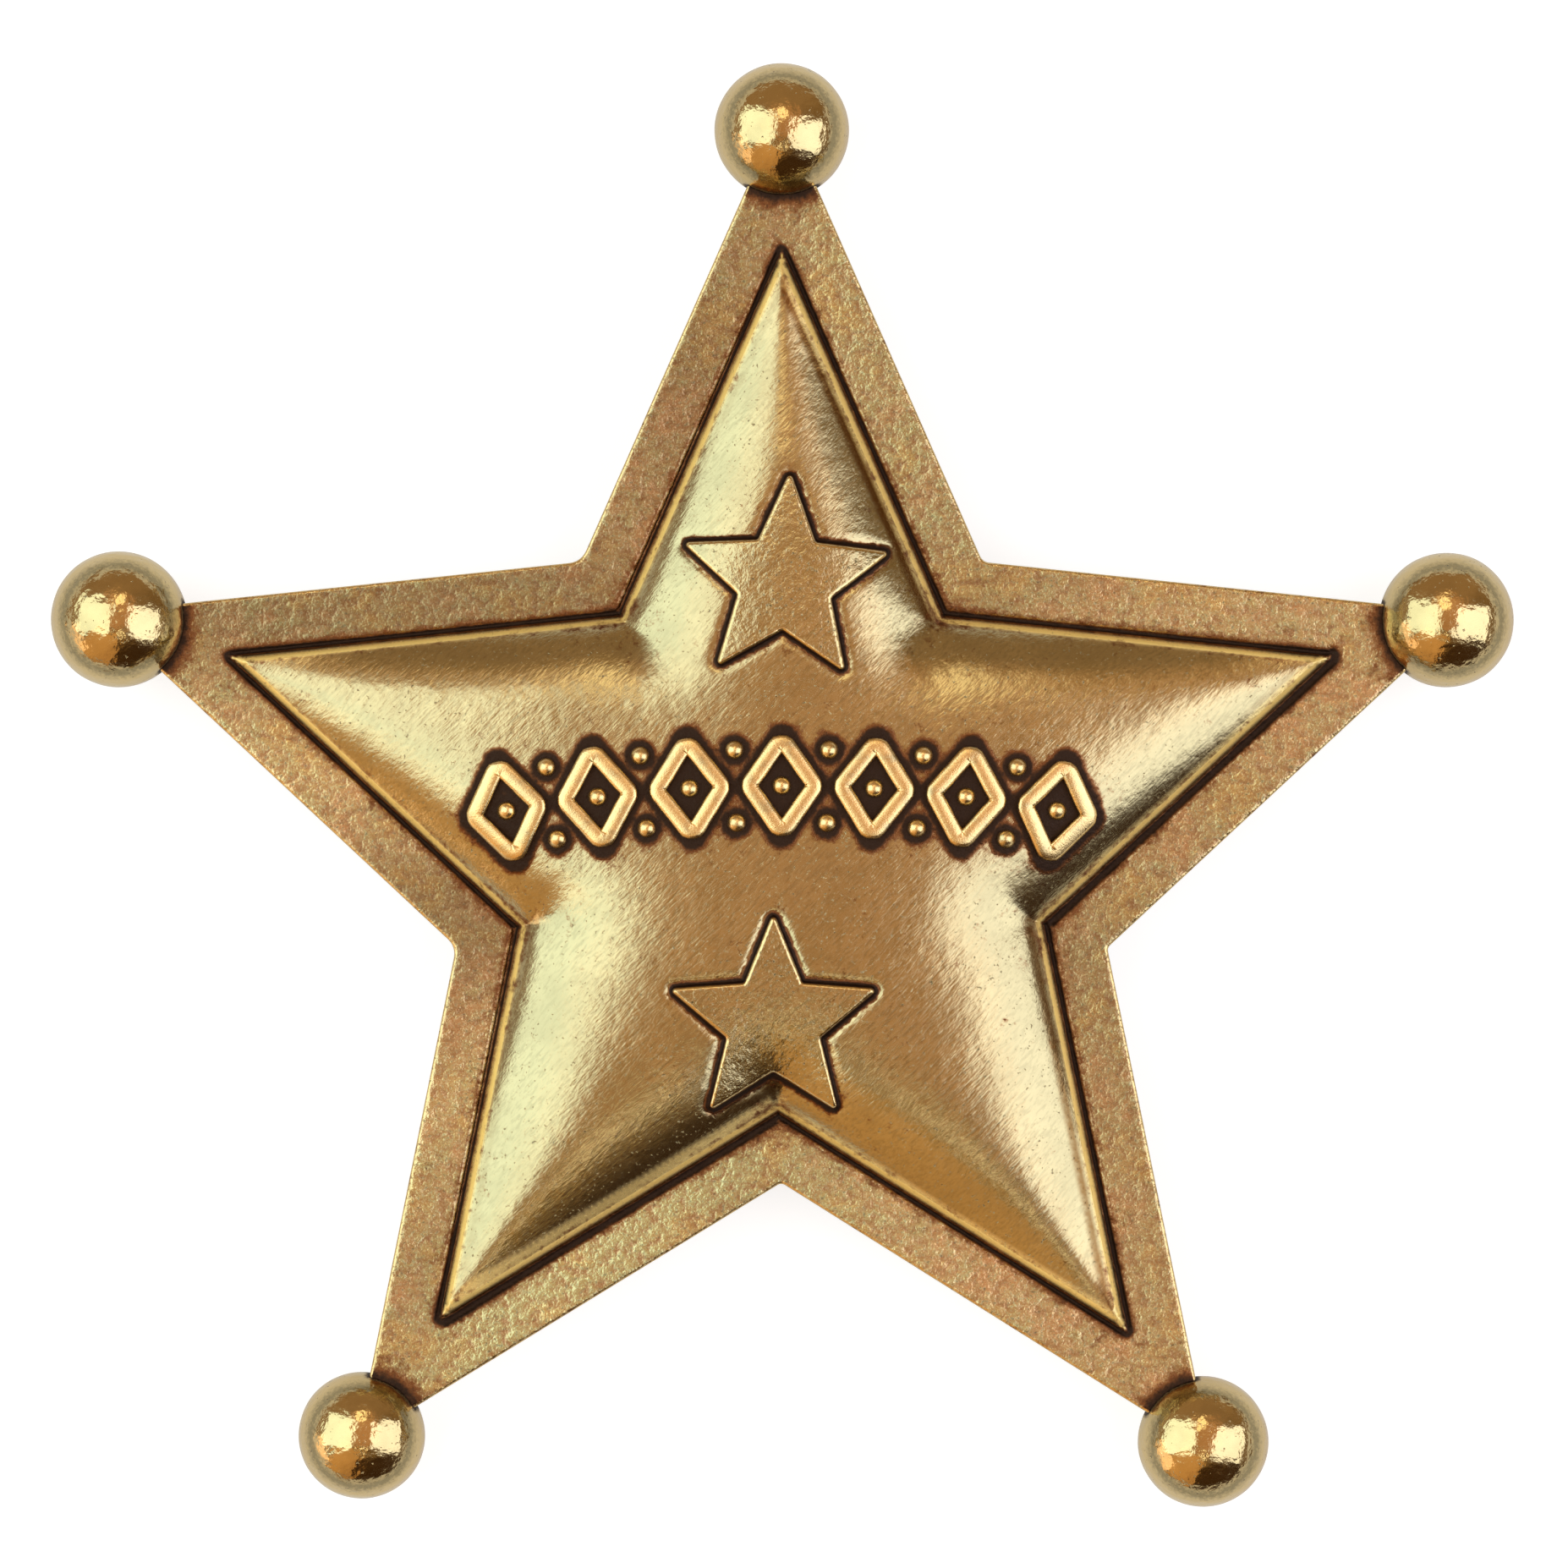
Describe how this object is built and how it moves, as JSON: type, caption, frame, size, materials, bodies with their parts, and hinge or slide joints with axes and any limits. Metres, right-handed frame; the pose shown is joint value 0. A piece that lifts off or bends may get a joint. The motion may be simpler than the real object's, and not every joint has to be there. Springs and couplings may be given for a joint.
{
  "type": "sheriff star badge",
  "caption": "Ball-tipped star badge cast in antique brass, with a puffed raised star, small relief stars, an arched row of lozenges, and a brooch pin in its hollow back.",
  "frame": {"origin": "middle of the bounding box on the surface the badge lies on, which its five balls touch", "axes": "+Z out of the badge's face, +Y towards its top arm, +X to its right as it is looked at"},
  "size_m": [0.07, 0.0692, 0.0075],
  "materials": {
    "antique_brass": "cast, plated and darkened in its recesses, with a satin brushed raised star and polished balls",
    "pin_brass": "plain drawn and stamped, lightly tarnished"
  },
  "bodies": {
    "root": {"star_body": "antique_brass", "pin_back": "pin_brass"}
  },
  "joints": []
}
